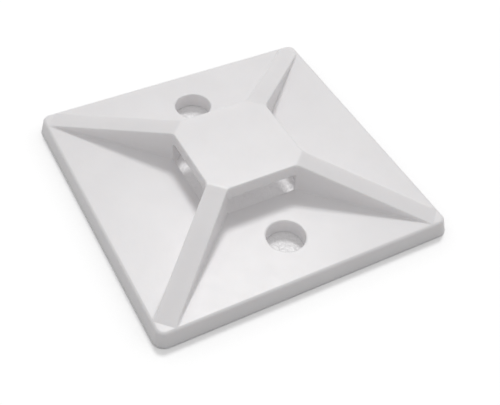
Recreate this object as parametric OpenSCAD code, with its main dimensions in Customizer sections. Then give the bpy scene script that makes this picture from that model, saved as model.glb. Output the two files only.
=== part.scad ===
// Four-way cable tie mount, moulded in one piece.
// A thin square base carries four ribs that climb from its corners to a small raised deck.
// The base is open under the deck, so a cable tie threads below the deck in either direction.
// Millimetres, +Z up. The origin is the centre of the base's underside.
// The sides of the base lie along X and Y, and the screw holes lie on the Y axis.

/* [Base] */
// Width of the square base across its underside
base_w = 28; // [26:0.5:36]
// Thickness of the base
base_t = 1.5; // [1.2:0.1:2]
// Corner radius of the base at its underside
corner_r = 1.1; // [1:0.1:4]
// How far each side leans in from the underside to the top
side_lean = 0.4; // [0.1:0.05:0.6]
// Radius that softens the base's top edge
edge_r = 0.2; // [0.1:0.05:0.4]

/* [Deck] */
// Height of the deck's top above the underside of the base
deck_h = 4.5; // [4:0.1:6]
// Width of the deck between opposite sides
deck_w = 9.35; // [8.6:0.05:10.6]
// Thickness of the deck
deck_t = 1.3; // [0.9:0.1:1.6]
// Radius that softens the deck's long edges
deck_edge_r = 0.15; // [0.05:0.05:0.3]

/* [Ribs] */
// Width of a rib along its flat top, and of the deck's cut corners
rib_w = 1.9; // [1.4:0.05:2.6]
// Lean of a rib's side walls from the upright, in degrees
rib_draft = 1; // [0.5:0.5:3]
// Radius that softens a rib's top edges
rib_edge_r = 0.12; // [0.05:0.01:0.25]
// Radius of the fillet where a rib stands on the base
foot_r = 0.15; // [0.1:0.05:0.5]
// Flat left between a rib's end and the top edge of the base's corner
rib_setback = 0.8; // [0.2:0.05:2]

/* [Window] */
// How far the window under the deck widens on each side on its way down to the underside
window_lean = 0.08; // [0.02:0.02:0.2]

/* [Screw holes] */
// Diameter of a screw hole
screw_d = 3.4; // [3:0.1:4.4]
// Distance between the two screw holes
screw_spacing = 18.2; // [16:0.1:20]
// Radius that softens a screw hole's rim
rim_r = 0.1; // [0.05:0.05:0.4]

/* [Hidden] */
$fn = 64;
// Overrun that carries a cut past the face it opens
over = 1;
// Distance from the centre out to the deck's cut corners, along a diagonal
cut_reach = (deck_w * sqrt(2) - rib_w) / 2;
// Underside of the deck, which is the roof of the tie tunnel
roof_h = deck_h - deck_t;
// Centre of each corner's arc, measured from the middle of the base
corner_at = base_w / 2 - corner_r;
// Distance from the centre out to the end of a rib
rib_reach = corner_at * sqrt(2) + corner_r - side_lean - rib_setback;
// Run and slope of a rib's flat top
rib_run = rib_reach - cut_reach;
rib_slope = atan((deck_h - base_t) / rib_run);

// Runs a section drawn in X and Z along Y
module along_y(length) {
    rotate([90, 0, 0])
        linear_extrude(length, center = true)
            children();
}

// Section with upright height h, walls that lean in by lean, and top edges softened to radius r
module leaning_section(foot_w, h, lean, r) {
    tilt = atan(lean / h);
    arc_z = h - r;
    arc_x = foot_w / 2 - (r + arc_z * sin(tilt)) / cos(tilt);
    wall_x = arc_x + r * cos(tilt);
    wall_z = arc_z + r * sin(tilt);
    polygon([
        [-foot_w / 2, 0],
        [foot_w / 2, 0],
        [wall_x, wall_z],
        [arc_x, arc_z],
        [arc_x, h],
        [-arc_x, h],
        [-arc_x, arc_z],
        [-wall_x, wall_z]
    ]);
    for (side = [-1, 1])
        translate([side * arc_x, arc_z])
            circle(r);
}

// Square plate with leaning sides, round corners and a softened top edge
module base() {
    for (turn = [0, 90])
        rotate([0, 0, turn])
            along_y(2 * corner_at)
                leaning_section(base_w, base_t, side_lean, edge_r);
    for (turn = [0:90:270])
        rotate([0, 0, turn])
            translate([corner_at, corner_at, 0])
                rotate_extrude(angle = 90)
                    intersection() {
                        leaning_section(2 * corner_r, base_t, side_lean, edge_r);
                        square([corner_r, base_t]);
                    }
}

// Bar as wide and thick as the deck, with its long edges softened
module deck_bar() {
    flat_w = deck_w - 2 * deck_edge_r;
    flat_t = deck_t - 2 * deck_edge_r;
    translate([0, 0, roof_h + deck_t / 2])
        along_y(deck_w) {
            square([flat_w, deck_t], center = true);
            square([deck_w, flat_t], center = true);
            for (sx = [-1, 1], sz = [-1, 1])
                translate([sx * flat_w / 2, sz * flat_t / 2])
                    circle(deck_edge_r);
        }
}

// Raised deck, with its corners cut to the width of the ribs
module deck() {
    intersection() {
        deck_bar();
        rotate([0, 0, 90])
            deck_bar();
        rotate([0, 0, 45])
            translate([-cut_reach, -cut_reach, 0])
                cube([2 * cut_reach, 2 * cut_reach, deck_h]);
    }
}

// Outline of a rib seen from the side: level inside the deck, then down to the base's top
module rib_outline() {
    inside = cut_reach - deck_t;
    polygon([
        [inside, 0],
        [inside, deck_h],
        [cut_reach, deck_h],
        [rib_reach, base_t],
        [rib_reach, 0]
    ]);
}

// Bar whose top lies along the rib's slope, with softened edges and walls that lean outwards
module rib_bar() {
    depth = deck_h + over;
    lean = depth * tan(rib_draft);
    translate([cut_reach, 0, deck_h])
        rotate([0, rib_slope, 0])
            rotate([0, 0, 90])
                translate([0, 0, -depth])
                    along_y(2 * rib_reach)
                        leaning_section(rib_w + 2 * lean, depth, lean, rib_edge_r);
}

// Hollow fillet along both feet of a rib, standing on the base
module foot_fillets() {
    foot_w = rib_w / 2 + (deck_h - base_t) * tan(rib_draft);
    for (side = [-1, 1])
        translate([0, side * foot_w, base_t])
            rotate([0, 0, 90])
                along_y(2 * rib_reach)
                    difference() {
                        square(2 * foot_r, center = true);
                        for (sx = [-1, 1])
                            translate([sx * foot_r, foot_r])
                                circle(foot_r);
                    }
}

// Rib along the diagonal that runs out between +X and +Y
module rib() {
    rotate([0, 0, 45])
        intersection() {
            rotate([90, 0, 0])
                linear_extrude(deck_w, center = true)
                    rib_outline();
            union() {
                rib_bar();
                foot_fillets();
            }
        }
}

// Pair of walls that lean apart on the way down, run along Y
module window_bar(top_w) {
    along_y(2 * deck_w)
        polygon([
            [-top_w / 2, roof_h],
            [top_w / 2, roof_h],
            [top_w / 2 + window_lean, 0],
            [top_w / 2 + window_lean, -over],
            [-top_w / 2 - window_lean, -over],
            [-top_w / 2 - window_lean, 0]
        ]);
}

// Space below the deck: it leaves the tie's four mouths and opens the base to the underside
module window() {
    intersection() {
        window_bar(deck_w);
        rotate([0, 0, 90])
            window_bar(deck_w);
        rotate([0, 0, 45])
            window_bar(2 * cut_reach);
        rotate([0, 0, 135])
            window_bar(2 * cut_reach);
    }
}

// Straight hole with a softened upper rim
module screw_hole() {
    translate([0, 0, -over])
        cylinder(d = screw_d, h = base_t + 2 * over);
    rotate_extrude()
        difference() {
            translate([0, base_t - rim_r])
                square([screw_d / 2 + rim_r, rim_r + over]);
            translate([screw_d / 2 + rim_r, base_t - rim_r])
                circle(rim_r);
        }
}

// The whole moulding
module mount_body() {
    color([0.93, 0.92, 0.91])
        difference() {
            union() {
                base();
                deck();
                for (turn = [0:90:270])
                    rotate([0, 0, turn])
                        rib();
            }
            window();
            for (side = [-1, 1])
                translate([0, side * screw_spacing / 2, 0])
                    screw_hole();
        }
}

mount_body();
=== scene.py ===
import math

import bpy
from mathutils import Matrix, Vector


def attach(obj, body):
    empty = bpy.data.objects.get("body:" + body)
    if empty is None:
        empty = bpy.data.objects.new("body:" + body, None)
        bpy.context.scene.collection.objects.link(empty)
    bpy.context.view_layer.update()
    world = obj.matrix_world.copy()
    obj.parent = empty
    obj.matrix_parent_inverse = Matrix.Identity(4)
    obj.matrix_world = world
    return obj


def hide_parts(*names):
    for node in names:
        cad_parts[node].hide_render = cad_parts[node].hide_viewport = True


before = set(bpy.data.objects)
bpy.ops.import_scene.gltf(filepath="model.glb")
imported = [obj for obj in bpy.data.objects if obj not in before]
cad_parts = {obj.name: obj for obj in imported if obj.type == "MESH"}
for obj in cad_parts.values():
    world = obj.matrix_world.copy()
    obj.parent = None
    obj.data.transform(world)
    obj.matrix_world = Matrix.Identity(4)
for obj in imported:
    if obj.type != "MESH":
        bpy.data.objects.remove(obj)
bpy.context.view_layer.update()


# ---------------------------------------------------------------------------
# Mount body. One injection moulding in natural white nylon: a thin square base, four ribs that
# climb from its corners, and a small raised deck over an open window that a cable tie passes.
# It is moulded in one shot, so every edge is slightly soft and every foot runs out in a fillet.

MM = 0.001

# Sizes are in millimetres, and the ribs' draft is a slope.
MOULDING = {
    "Base Width": 28.0,
    "Base Thickness": 1.5,
    "Corner Radius": 1.1,
    "Side Lean": 0.4,
    "Top Edge Radius": 0.2,
    "Underside Edge Radius": 0.08,
    "Deck Height": 4.5,
    "Deck Width": 9.35,
    "Deck Thickness": 1.3,
    "Deck Edge Radius": 0.15,
    "Deck Crease": 0.035,
    "Rib Width": 1.9,
    "Rib Draft": math.tan(math.radians(1.0)),
    "Rib Edge Radius": 0.12,
    "Rib Shoulder Radius": 0.25,
    "Foot Radius": 0.15,
    "Rib Setback": 0.8,
    "Window Lean": 0.08,
    "Window Rim Radius": 0.1,
    "Screw Hole Width": 3.4,
    "Screw Hole Spacing": 18.2,
    "Screw Rim Radius": 0.1,
}
# The grid that the skin is drawn on, in millimetres too, how readily its flat cells merge, and
# how far from a point the samples lie that find the skin's direction.
GRID_PITCH, GRID_MARGIN = 0.08, 0.35
FLAT_MERGE = 0.003
GRADIENT_STEP = 0.004


class Length:
    """A number that a node tree works out, written as ordinary arithmetic."""

    def __init__(self, tree, socket):
        self.tree, self.socket = tree, socket

    def node(self, operation, *others):
        made = self.tree.nodes.new("ShaderNodeMath")
        made.operation = operation
        for socket, value in zip(made.inputs, (self, *others)):
            if isinstance(value, Length):
                self.tree.links.new(value.socket, socket)
            else:
                socket.default_value = value
        return Length(self.tree, made.outputs[0])

    def __add__(self, other):
        return self.node("ADD", other)

    def __sub__(self, other):
        return self.node("SUBTRACT", other)

    def __mul__(self, other):
        return self.node("MULTIPLY", other)

    def __truediv__(self, other):
        return self.node("DIVIDE", other)

    def __neg__(self):
        return self.node("MULTIPLY", -1.0)

    def __abs__(self):
        return self.node("ABSOLUTE")


def larger(a, b):
    return a.node("MAXIMUM", b)


def smaller(a, b):
    return a.node("MINIMUM", b)


def hypot(a, b):
    return (a * a + b * b).node("SQRT")


def joined(a, b, radius):
    """Both shapes, with a hollow fillet of that radius where they meet."""
    near = hypot(larger(radius - a, 0.0), larger(radius - b, 0.0))
    return larger(smaller(a, b), radius) - near


def common(a, b, radius):
    """What lies in both shapes, with its edge rounded to that radius."""
    near = hypot(larger(radius + a, 0.0), larger(radius + b, 0.0))
    return smaller(larger(a, b), -radius) + near


def creased(a, b, softness):
    """What lies in both shapes, where they meet at a shallow angle."""
    near = larger(softness - abs(a - b), 0.0)
    return larger(a, b) + near * near / (softness * 4.0)


def new_tree(name, inputs, outputs):
    tree = bpy.data.node_groups.new(name, "GeometryNodeTree")
    for label, kind in inputs:
        tree.interface.new_socket(label, in_out="INPUT", socket_type=kind)
    for label, kind in outputs:
        tree.interface.new_socket(label, in_out="OUTPUT", socket_type=kind)
    return tree, tree.nodes.new("NodeGroupInput"), tree.nodes.new("NodeGroupOutput")


def call(tree, group, source, **given):
    """Places a group in a tree and feeds it every input of the tree that has the same name."""
    node = tree.nodes.new("GeometryNodeGroup")
    node.node_tree = group
    for socket in node.inputs:
        if socket.name in given:
            tree.links.new(given[socket.name], socket)
        else:
            tree.links.new(source.outputs[socket.name], socket)
    return node


SIZE_SOCKETS = [(name, "NodeSocketFloat") for name in MOULDING]

# How far a point is from the moulding's skin, negative inside the plastic.
skin, given, put_out = new_tree(
    "mount_skin_distance",
    [("Point", "NodeSocketVector"), *SIZE_SOCKETS],
    [("Distance", "NodeSocketFloat")],
)
size = {name: Length(skin, given.outputs[name]) for name in MOULDING}
split = skin.nodes.new("ShaderNodeSeparateXYZ")
skin.links.new(given.outputs["Point"], split.inputs[0])
x, y, z = (Length(skin, socket) for socket in split.outputs)
across_x, across_y = abs(x), abs(y)
ROOT_HALF = math.sqrt(0.5)
out_along_rib = (across_x + across_y) * ROOT_HALF
off_rib = abs(across_x - across_y) * ROOT_HALF
above_base = z - size["Base Thickness"]

# Base: a square with round corners whose sides lean in as they rise.
corner_at = size["Base Width"] * 0.5 - size["Corner Radius"]
past_x, past_y = across_x - corner_at, across_y - corner_at
beyond_corner = hypot(larger(past_x, 0.0), larger(past_y, 0.0))
base_plan = beyond_corner + smaller(larger(past_x, past_y), 0.0)
lean = size["Side Lean"] / size["Base Thickness"]
sides = (base_plan - size["Corner Radius"] + lean * z) / hypot(lean, 1.0)
base = common(sides, above_base, size["Top Edge Radius"])

# Window: the deck's outline carried down to the underside, spreading a little on the way. At its
# corners the base is cut a little further out, so that the ribs alone shape the wall there.
UNDER_RIB = 0.3
roof = size["Deck Height"] - size["Deck Thickness"]
deck_half = size["Deck Width"] * 0.5
cut_reach = size["Deck Width"] * ROOT_HALF - size["Rib Width"] * 0.5
spread = size["Window Lean"] * (roof - z) / roof
furthest = larger(across_x, across_y)
opening = larger(furthest - deck_half - spread, out_along_rib - cut_reach - spread - UNDER_RIB)
base = common(base, -opening, size["Window Rim Radius"])

# Deck and ribs: one plan, level over the deck and then falling to the corners of the base.
rib_end = (
    corner_at * math.sqrt(2.0) + size["Corner Radius"] - size["Side Lean"] - size["Rib Setback"]
)
fall, run = size["Deck Height"] - size["Base Thickness"], rib_end - cut_reach
slope_length = hypot(fall, run)
incline = ((out_along_rib - cut_reach) * fall + (z - size["Deck Height"]) * run) / slope_length
top = creased(z - size["Deck Height"], incline, size["Deck Crease"])
rib_plan = off_rib - size["Rib Width"] * 0.5 + top * size["Rib Draft"]
raised_plan = joined(furthest - deck_half, rib_plan, size["Rib Shoulder Radius"])
tunnel = larger(out_along_rib - cut_reach - spread, z - roof)
over_tunnel = common(raised_plan, -tunnel, size["Deck Edge Radius"])
raised = larger(over_tunnel, out_along_rib - rib_end)
with_feet = joined(raised, base, size["Foot Radius"])
body = smaller(common(with_feet, top, size["Rib Edge Radius"]), base)

# Screw holes, and the flat underside that the mount stands on.
from_hole = hypot(x, across_y - size["Screw Hole Spacing"] * 0.5)
hole = from_hole - size["Screw Hole Width"] * 0.5
body = common(body, -hole, size["Screw Rim Radius"])
body = common(body, -z, size["Underside Edge Radius"])
skin.links.new(body.socket, put_out.inputs[0])

# The skin's distance and its outward direction, from four close samples.
facing, given, put_out = new_tree(
    "mount_skin_facing",
    [("Point", "NodeSocketVector"), *SIZE_SOCKETS],
    [("Distance", "NodeSocketFloat"), ("Outward", "NodeSocketVector")],
)


def vector_node(tree, operation, *values, scale=None):
    node = tree.nodes.new("ShaderNodeVectorMath")
    node.operation = operation
    for socket, value in zip(node.inputs, values):
        if isinstance(value, bpy.types.NodeSocket):
            tree.links.new(value, socket)
        else:
            socket.default_value = value
    if scale is not None:
        tree.links.new(scale, node.inputs["Scale"])
    return node.outputs[0]


SAMPLES = ((1, -1, -1), (-1, -1, 1), (-1, 1, -1), (1, 1, 1))
pull = None
total = None
for corner in SAMPLES:
    offset = tuple(GRADIENT_STEP * side for side in corner)
    at = vector_node(facing, "ADD", given.outputs["Point"], offset)
    sample = call(facing, skin, given, Point=at).outputs["Distance"]
    weighed = vector_node(facing, "SCALE", corner, scale=sample)
    pull = weighed if pull is None else vector_node(facing, "ADD", pull, weighed)
    total = Length(facing, sample) if total is None else total + Length(facing, sample)
facing.links.new((total / len(SAMPLES)).socket, put_out.inputs["Distance"])
facing.links.new(vector_node(facing, "NORMALIZE", pull), put_out.inputs["Outward"])

# The moulding: the distance is filled into a grid, skinned, and each point is then settled on
# the exact skin and given the skin's own direction.
SETTLINGS = 3
moulding, given, put_out = new_tree(
    "mount_moulding",
    [
        ("Geometry", "NodeSocketGeometry"),
        ("Grid Pitch", "NodeSocketFloat"),
        ("Flat Merge", "NodeSocketFloat"),
        ("Nylon", "NodeSocketMaterial"),
        *SIZE_SOCKETS,
    ],
    [("Geometry", "NodeSocketGeometry")],
)
pitch = Length(moulding, given.outputs["Grid Pitch"])
reach = Length(moulding, given.outputs["Base Width"]) * 0.5 + GRID_MARGIN
ceiling = Length(moulding, given.outputs["Deck Height"]) + GRID_MARGIN


def point_of(tree, px, py, pz):
    node = tree.nodes.new("ShaderNodeCombineXYZ")
    for socket, value in zip(node.inputs, (px, py, pz)):
        if isinstance(value, Length):
            tree.links.new(value.socket, socket)
        else:
            socket.default_value = value
    return node.outputs[0]


cube = moulding.nodes.new("GeometryNodeVolumeCube")
place = moulding.nodes.new("GeometryNodeInputPosition").outputs[0]
inside = -Length(moulding, call(moulding, skin, given, Point=place).outputs["Distance"])
moulding.links.new(inside.socket, cube.inputs["Density"])
cube.inputs["Background"].default_value = -GRID_MARGIN
moulding.links.new(point_of(moulding, -reach, -reach, -GRID_MARGIN), cube.inputs["Min"])
moulding.links.new(point_of(moulding, reach, reach, ceiling), cube.inputs["Max"])
cells_across = reach * 2.0 / pitch
cells_up = (ceiling + GRID_MARGIN) / pitch
for axis, cells in zip("XYZ", (cells_across, cells_across, cells_up)):
    moulding.links.new(cells.socket, cube.inputs["Resolution " + axis])
skinned = moulding.nodes.new("GeometryNodeVolumeToMesh")
skinned.resolution_mode = "GRID"
moulding.links.new(cube.outputs[0], skinned.inputs["Volume"])
skinned.inputs["Threshold"].default_value = 0.0
moulding.links.new(given.outputs["Flat Merge"], skinned.inputs["Adaptivity"])
surface = skinned.outputs[0]
for _ in range(SETTLINGS):
    place = moulding.nodes.new("GeometryNodeInputPosition").outputs[0]
    here = call(moulding, facing, given, Point=place)
    inward = (-Length(moulding, here.outputs["Distance"])).socket
    step = vector_node(moulding, "SCALE", here.outputs["Outward"], scale=inward)
    settle = moulding.nodes.new("GeometryNodeSetPosition")
    moulding.links.new(surface, settle.inputs["Geometry"])
    moulding.links.new(step, settle.inputs["Offset"])
    surface = settle.outputs[0]
place = moulding.nodes.new("GeometryNodeInputPosition").outputs[0]
here = call(moulding, facing, given, Point=place)
turned = moulding.nodes.new("GeometryNodeSetMeshNormal")
turned.mode = "FREE"
turned.domain = "POINT"
moulding.links.new(surface, turned.inputs["Mesh"])
moulding.links.new(here.outputs["Outward"], turned.inputs["Custom Normal"])
scaled = moulding.nodes.new("GeometryNodeTransform")
moulding.links.new(turned.outputs[0], scaled.inputs["Geometry"])
scaled.inputs["Scale"].default_value = (MM, MM, MM)
realized = moulding.nodes.new("GeometryNodeRealizeInstances")
moulding.links.new(scaled.outputs[0], realized.inputs[0])
painted = moulding.nodes.new("GeometryNodeSetMaterial")
moulding.links.new(realized.outputs[0], painted.inputs["Geometry"])
moulding.links.new(given.outputs["Nylon"], painted.inputs["Material"])
moulding.links.new(painted.outputs[0], put_out.inputs[0])

# Natural nylon: satin, faintly warm, and slightly cloudy just below the skin. Depths and heights
# are in metres, and the scales of noise in cells per metre.
NOISE_LOW, NOISE_HIGH = 0.3, 0.7
REFRACTION = 1.5
GLOW_SHARE, GLOW_DEPTH, GLOW_SPREAD = 0.5, 0.0006, (1.0, 0.95, 0.9)
CLOUD_SCALE, CLOUD_DETAIL = 260.0, 4.0
CLOUDED, CLEAR = (0.865, 0.848, 0.856), (0.895, 0.878, 0.886)
POLISH_SCALE, POLISH_DETAIL = 900.0, 3.0
GLOSSIEST, DULLEST = 0.335, 0.36
GRAIN_SCALE, GRAIN_DETAIL = 2600.0, 2.0
GRAIN_HEIGHT, GRAIN_STRENGTH = 0.00003, 0.15


def noise(tree, scale, detail):
    """Noise that is fixed to the object, with its scale in cells per metre."""
    where = tree.nodes.new("ShaderNodeTexCoord").outputs["Object"]
    node = tree.nodes.new("ShaderNodeTexNoise")
    node.inputs["Scale"].default_value = scale
    node.inputs["Detail"].default_value = detail
    tree.links.new(where, node.inputs["Vector"])
    return node.outputs["Fac"]


def carried(tree, value, start, end, low, high):
    """Carries a value's span from start to end onto the span from low to high."""
    node = tree.nodes.new("ShaderNodeMapRange")
    tree.links.new(value, node.inputs["Value"])
    node.inputs["From Min"].default_value = start
    node.inputs["From Max"].default_value = end
    node.inputs["To Min"].default_value = low
    node.inputs["To Max"].default_value = high
    return node.outputs["Result"]


def mixed(tree, factor, *colours):
    """The first colour where the factor is 0, and the second where it is 1."""
    node = tree.nodes.new("ShaderNodeMix")
    node.data_type = "RGBA"
    tree.links.new(factor, node.inputs["Factor"])
    for label, colour in zip("AB", colours):
        if isinstance(colour, bpy.types.NodeSocket):
            tree.links.new(colour, node.inputs[label])
        else:
            node.inputs[label].default_value = (*colour, 1.0)
    return node.outputs["Result"]


def roughened(tree, shader, scale, detail, height, strength):
    """Gives a shader a fine relief of noise."""
    relief = tree.nodes.new("ShaderNodeBump")
    relief.inputs["Strength"].default_value = strength
    relief.inputs["Distance"].default_value = height
    tree.links.new(noise(tree, scale, detail), relief.inputs["Height"])
    tree.links.new(relief.outputs["Normal"], shader.inputs["Normal"])


nylon = bpy.data.materials.new("white_nylon")
nylon.use_nodes = True
tree = nylon.node_tree
shader = tree.nodes["Principled BSDF"]
shader.inputs["IOR"].default_value = REFRACTION
shader.inputs["Subsurface Weight"].default_value = GLOW_SHARE
shader.inputs["Subsurface Radius"].default_value = GLOW_SPREAD
shader.inputs["Subsurface Scale"].default_value = GLOW_DEPTH
cloud = noise(tree, CLOUD_SCALE, CLOUD_DETAIL)
cloud = carried(tree, cloud, NOISE_LOW, NOISE_HIGH, 0.0, 1.0)
tree.links.new(mixed(tree, cloud, CLOUDED, CLEAR), shader.inputs["Base Color"])
polish = noise(tree, POLISH_SCALE, POLISH_DETAIL)
polish = carried(tree, polish, NOISE_LOW, NOISE_HIGH, GLOSSIEST, DULLEST)
tree.links.new(polish, shader.inputs["Roughness"])
roughened(tree, shader, GRAIN_SCALE, GRAIN_DETAIL, GRAIN_HEIGHT, GRAIN_STRENGTH)

# The mesh is taken from a short-lived host object, which leaves the modifier behind.
host = bpy.data.objects.new("mount_source", bpy.data.meshes.new("mount_source"))
bpy.context.scene.collection.objects.link(host)
modifier = host.modifiers.new("moulding", "NODES")
modifier.node_group = moulding
chosen = {**MOULDING, "Grid Pitch": GRID_PITCH, "Flat Merge": FLAT_MERGE, "Nylon": nylon}
for item in moulding.interface.items_tree:
    if item.in_out == "INPUT" and item.name in chosen:
        modifier[item.identifier] = chosen[item.name]
evaluated = host.evaluated_get(bpy.context.evaluated_depsgraph_get())
mount_mesh = bpy.data.meshes.new_from_object(evaluated)
bpy.data.objects.remove(host)
mount_mesh.name = "mount_moulding"
mount = bpy.data.objects.new("mount_moulding", mount_mesh)
bpy.context.scene.collection.objects.link(mount)
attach(mount, "root")
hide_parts("mount_body")


# ---------------------------------------------------------------------------
# Floor. A wide sheet of matt white paper under the mount, which keeps the mount's shadow and
# reads as clean white to the camera. Just under the mount lies a patch of crinkled, glossy white
# film, seen only through the screw holes and the window.

FLOOR_HALF, FILM_HALF = 1.0, 0.0135
# Just clear of the mount's underside, so that the two never share a plane.
FLOOR_LEVEL = -0.00002
PAPER_ROUGHNESS, PAPER_SPECULAR = 0.9, 0.0
# Each sheet has one brightness when looked at, and another for the light that it throws back.
PAPER_SEEN, PAPER_BOUNCE = 1.37, 0.48
# Close to the mount's sides a soft shadow is painted into the paper's seen colour, darkening it
# down to this share of its brightness.
CONTACT_REACH, PAINTED_CONTACT_SHADE = 0.003, 0.72
FILM_SEEN, FILM_BOUNCE = (0.83, 0.82, 0.825), 0.86
FILM_ROUGHNESS, FILM_SPECULAR = 0.28, 0.5
CRINKLE_SCALE, CRINKLE_DETAIL = 2600.0, 2.0
CRINKLE_HEIGHT, CRINKLE_STRENGTH = 0.00012, 1.0
# A painted glow: the film gives off light of its own, standing in for light that seeps through the
# thin deck and keeps the film below it from going dark. It is level as far as the deck reaches,
# and falls off to the weaker glow painted for what seeps through the base.
PAINTED_GLOW_COLOUR = (1.0, 0.985, 0.992)
PAINTED_GLOW_UNDER_DECK, PAINTED_GLOW_UNDER_BASE = 0.115, 0.06
DECK_REACH, BASE_REACH = 0.0055, 0.0072


def summed(tree, *values):
    """The sum of two values, held between 0 and 1."""
    node = tree.nodes.new("ShaderNodeMath")
    node.operation = "ADD"
    node.use_clamp = True
    for socket, value in zip(node.inputs, values):
        tree.links.new(value, socket)
    return node.outputs[0]


def looked_at(tree):
    """1 for a ray from the camera, from a reflection or through glass, and 0 for bounced light."""
    ray = tree.nodes.new("ShaderNodeLightPath").outputs
    direct = summed(tree, ray["Is Camera Ray"], ray["Is Glossy Ray"])
    return summed(tree, direct, ray["Is Transmission Ray"])


def sheet_material(name, roughness, specular):
    """A new sheet material, with its node tree and its shader."""
    made = bpy.data.materials.new(name)
    made.use_nodes = True
    shader = made.node_tree.nodes["Principled BSDF"]
    shader.inputs["Roughness"].default_value = roughness
    shader.inputs["Specular IOR Level"].default_value = specular
    return made, made.node_tree, shader


def square_corners(half):
    corners = ((-1, -1), (1, -1), (1, 1), (-1, 1))
    return [(side_x * half, side_y * half, FLOOR_LEVEL) for side_x, side_y in corners]


paper, tree, shader = sheet_material("white_paper", PAPER_ROUGHNESS, PAPER_SPECULAR)
# Painted shadow: the paper's seen colour darkens where the occlusion node finds the mount close
# by.
openness = tree.nodes.new("ShaderNodeAmbientOcclusion")
openness.inputs["Distance"].default_value = CONTACT_REACH
painted_shade_darkest = PAPER_SEEN * PAINTED_CONTACT_SHADE
seen = mixed(tree, openness.outputs["AO"], (painted_shade_darkest,) * 3, (PAPER_SEEN,) * 3)
colour = mixed(tree, looked_at(tree), (PAPER_BOUNCE,) * 3, seen)
tree.links.new(colour, shader.inputs["Base Color"])

film, tree, shader = sheet_material("white_film", FILM_ROUGHNESS, FILM_SPECULAR)
colour = mixed(tree, looked_at(tree), (FILM_BOUNCE,) * 3, FILM_SEEN)
tree.links.new(colour, shader.inputs["Base Color"])
roughened(tree, shader, CRINKLE_SCALE, CRINKLE_DETAIL, CRINKLE_HEIGHT, CRINKLE_STRENGTH)
# Painted glow: the film's own emission, strongest under the deck and weaker under the base.
from_middle = tree.nodes.new("ShaderNodeVectorMath")
from_middle.operation = "LENGTH"
where = tree.nodes.new("ShaderNodeTexCoord").outputs["Object"]
tree.links.new(where, from_middle.inputs[0])
distance = from_middle.outputs["Value"]
painted_glow = carried(tree, distance, DECK_REACH, BASE_REACH, PAINTED_GLOW_UNDER_DECK, PAINTED_GLOW_UNDER_BASE)
tree.links.new(painted_glow, shader.inputs["Emission Strength"])
shader.inputs["Emission Color"].default_value = (*PAINTED_GLOW_COLOUR, 1.0)

floor_mesh = bpy.data.meshes.new("floor")
floor_mesh.from_pydata(
    square_corners(FILM_HALF) + square_corners(FLOOR_HALF),
    [],
    [(0, 1, 2, 3), (4, 5, 1, 0), (5, 6, 2, 1), (6, 7, 3, 2), (7, 4, 0, 3)],
)
floor_mesh.materials.append(film)
floor_mesh.materials.append(paper)
for face in floor_mesh.polygons:
    face.material_index = min(face.index, 1)
floor = bpy.data.objects.new("floor", floor_mesh)
bpy.context.scene.collection.objects.link(floor)


# ---------------------------------------------------------------------------
# Studio light. A pale room all round, and a broad lamp high behind the mount whose soft shadow
# falls towards the front.

TO_LAMP = Vector((0.36, 0.60, 1.0))
LAMP_STRENGTH = 0.92
LAMP_ANGLE = 12.0
# How strongly the room lights the mount, and how bright it is itself when looked at.
ROOM_LEVEL, ROOM_SEEN = 0.505, 1.0
WHITE = (1.0, 1.0, 1.0, 1.0)

lamp_data = bpy.data.lights.new("key_lamp", "SUN")
lamp_data.energy = LAMP_STRENGTH
lamp_data.angle = math.radians(LAMP_ANGLE)
lamp = bpy.data.objects.new("key_lamp", lamp_data)
lamp.rotation_mode = "QUATERNION"
lamp.rotation_quaternion = TO_LAMP.to_track_quat("Z", "Y")
bpy.context.scene.collection.objects.link(lamp)

room = bpy.data.worlds.new("room")
room.use_nodes = True
bpy.context.scene.world = room
tree = room.node_tree
sky = tree.nodes["Background"]
sky.inputs["Color"].default_value = WHITE
level = carried(tree, looked_at(tree), 0.0, 1.0, ROOM_LEVEL, ROOM_SEEN)
tree.links.new(level, sky.inputs["Strength"])


# ---------------------------------------------------------------------------
# Camera. It looks down on one corner of the mount, close enough for a lively perspective, with
# its right and up directions given outright.

CAMERA_AT = Vector((-26.50043, -46.16130, 54.90978)) * MM
RIGHT = Vector((0.880986, -0.470027, 0.054206))
UP = Vector((0.315423, 0.668842, 0.673171))
LENS, SENSOR = 59.91, 36.0
CLIP_START, CLIP_END = 0.001, 10.0

camera_data = bpy.data.cameras.new("camera")
camera_data.sensor_width = SENSOR
camera_data.lens = LENS
camera_data.clip_start = CLIP_START
camera_data.clip_end = CLIP_END
camera = bpy.data.objects.new("camera", camera_data)
bpy.context.scene.collection.objects.link(camera)
turn = Matrix((RIGHT, UP, RIGHT.cross(UP))).transposed()
camera.matrix_world = Matrix.Translation(CAMERA_AT) @ turn.to_4x4()
bpy.context.scene.camera = camera
bpy.context.scene.view_settings.view_transform = "Standard"
